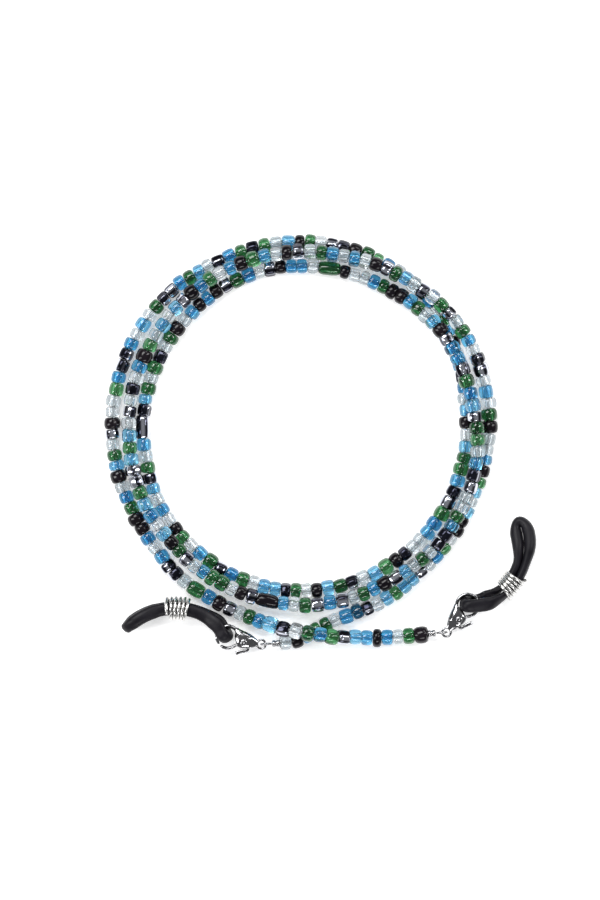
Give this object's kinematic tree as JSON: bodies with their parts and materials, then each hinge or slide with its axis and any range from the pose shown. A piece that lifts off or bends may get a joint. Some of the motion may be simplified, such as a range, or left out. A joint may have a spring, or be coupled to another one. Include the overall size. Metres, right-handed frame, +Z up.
{
  "type": "beaded eyeglass retainer chain",
  "caption": "Beaded glass eyeglass chain lying in a flat coil, with a lobster clasp, a rubber temple loop and a sliding wire coil at each end.",
  "frame": {"origin": "under the centre of the bounding box, on the table that the chain lies on", "axes": "+Z up from the table, +X to the right and +Y away from the clasps, seen from above with the clasps nearest"},
  "size_m": [0.0902, 0.0882, 0.0071],
  "materials": {
    "glass_blue": "transparent sky-blue glass, polished",
    "glass_teal": "transparent deep teal glass, polished",
    "glass_green": "transparent grass-green glass, polished",
    "glass_clear": "colourless glass, polished",
    "glass_black": "opaque jet-black glass, polished",
    "glass_hematite": "opaque glass with a mirror-like dark hematite coat",
    "glass_mixed": "mixed blue, green, clear, black and hematite glass beads",
    "thread": "braided nylon thread",
    "silver_plate": "bright silver-coloured plating on zinc alloy",
    "silver_wire": "bright plated steel wire",
    "black_rubber": "smooth moulded black rubber with a slight sheen"
  },
  "bodies": {
    "strand": {"bead_coil": "glass_mixed", "left_thread": "thread", "left_bead_01": "glass_clear", "left_bead_02": "glass_black", "left_bead_03": "glass_blue", "left_bead_04": "glass_green", "left_bead_05": "glass_green", "left_bead_06": "glass_clear", "left_bead_07": "glass_blue", "left_bead_08": "glass_teal", "left_bead_09": "glass_hematite", "left_bead_10": "glass_clear", "left_bead_11": "glass_blue", "left_bead_12": "glass_green", "left_crimp_tube": "silver_plate", "left_end_loop": "silver_wire", "right_thread": "thread", "right_bead_01": "glass_black", "right_bead_02": "glass_green", "right_bead_03": "glass_clear", "right_bead_04": "glass_blue", "right_bead_05": "glass_black", "right_bead_06": "glass_blue", "right_bead_07": "glass_blue", "right_bead_08": "glass_hematite", "right_bead_09": "glass_green", "right_bead_10": "glass_blue", "right_bead_11": "glass_green", "right_bead_12": "glass_clear", "right_bead_13": "glass_hematite", "right_bead_14": "glass_blue", "right_bead_15": "glass_blue", "right_bead_16": "glass_green", "right_bead_17": "glass_clear", "right_bead_18": "glass_hematite", "right_bead_19": "glass_black", "right_bead_20": "glass_blue", "right_bead_21": "glass_green", "right_bead_22": "glass_clear", "right_bead_23": "glass_hematite", "right_crimp_tube": "silver_plate", "right_end_loop": "silver_wire"},
    "left_clasp": {"left_clasp_body": "silver_plate", "left_clasp_rivet": "silver_plate", "left_clasp_spring": "silver_wire"},
    "left_lever": {"left_clasp_lever": "silver_plate"},
    "left_grip": {"left_grip_loop": "black_rubber"},
    "left_slider": {"left_slider_coil": "silver_wire"},
    "right_clasp": {"right_clasp_body": "silver_plate", "right_clasp_rivet": "silver_plate", "right_clasp_spring": "silver_wire"},
    "right_lever": {"right_clasp_lever": "silver_plate"},
    "right_grip": {"right_grip_loop": "black_rubber"},
    "right_slider": {"right_slider_coil": "silver_wire"}
  },
  "joints": [
    {"name": "left_clasp_swing", "type": "hinge", "parent": "strand", "child": "left_clasp", "pos_m": [-0.01229, -0.04198, 0.00265], "axis": [0, 0, 1], "range_deg": [0, 40]},
    {"name": "left_lever_turn", "type": "hinge", "parent": "left_clasp", "child": "left_lever", "pos_m": [-0.01599, -0.0416, 0.00265], "axis": [0, 0, 1], "range_deg": [-16, 0], "stiffness_Nm_per_rad": 0.003, "springref_deg": 8.59},
    {"name": "left_grip_swing", "type": "hinge", "parent": "left_clasp", "child": "left_grip", "pos_m": [-0.01931, -0.03987, 0.00265], "axis": [0, 0, 1], "range_deg": [0, 40]},
    {"name": "left_slider_slide", "type": "hinge", "parent": "left_grip", "child": "left_slider", "pos_m": [-0.03053, -0.04874, 0.00265], "axis": [0, 0, 1], "range_deg": [-9, 9]},
    {"name": "right_clasp_swing", "type": "hinge", "parent": "strand", "child": "right_clasp", "pos_m": [0.02651, -0.03948, 0.00265], "axis": [0, 0, 1], "range_deg": [-40, 5]},
    {"name": "right_lever_turn", "type": "hinge", "parent": "right_clasp", "child": "right_lever", "pos_m": [0.0291, -0.03681, 0.00265], "axis": [0, 0, 1], "range_deg": [0, 16], "stiffness_Nm_per_rad": 0.003, "springref_deg": -8.59},
    {"name": "right_grip_swing", "type": "hinge", "parent": "right_clasp", "child": "right_grip", "pos_m": [0.03114, -0.03371, 0.00265], "axis": [0, 0, 1], "range_deg": [-40, 5]},
    {"name": "right_slider_slide", "type": "hinge", "parent": "right_grip", "child": "right_slider", "pos_m": [0.03046, -0.02143, 0.00265], "axis": [0, 0, 1], "range_deg": [-12, 15]}
  ]
}
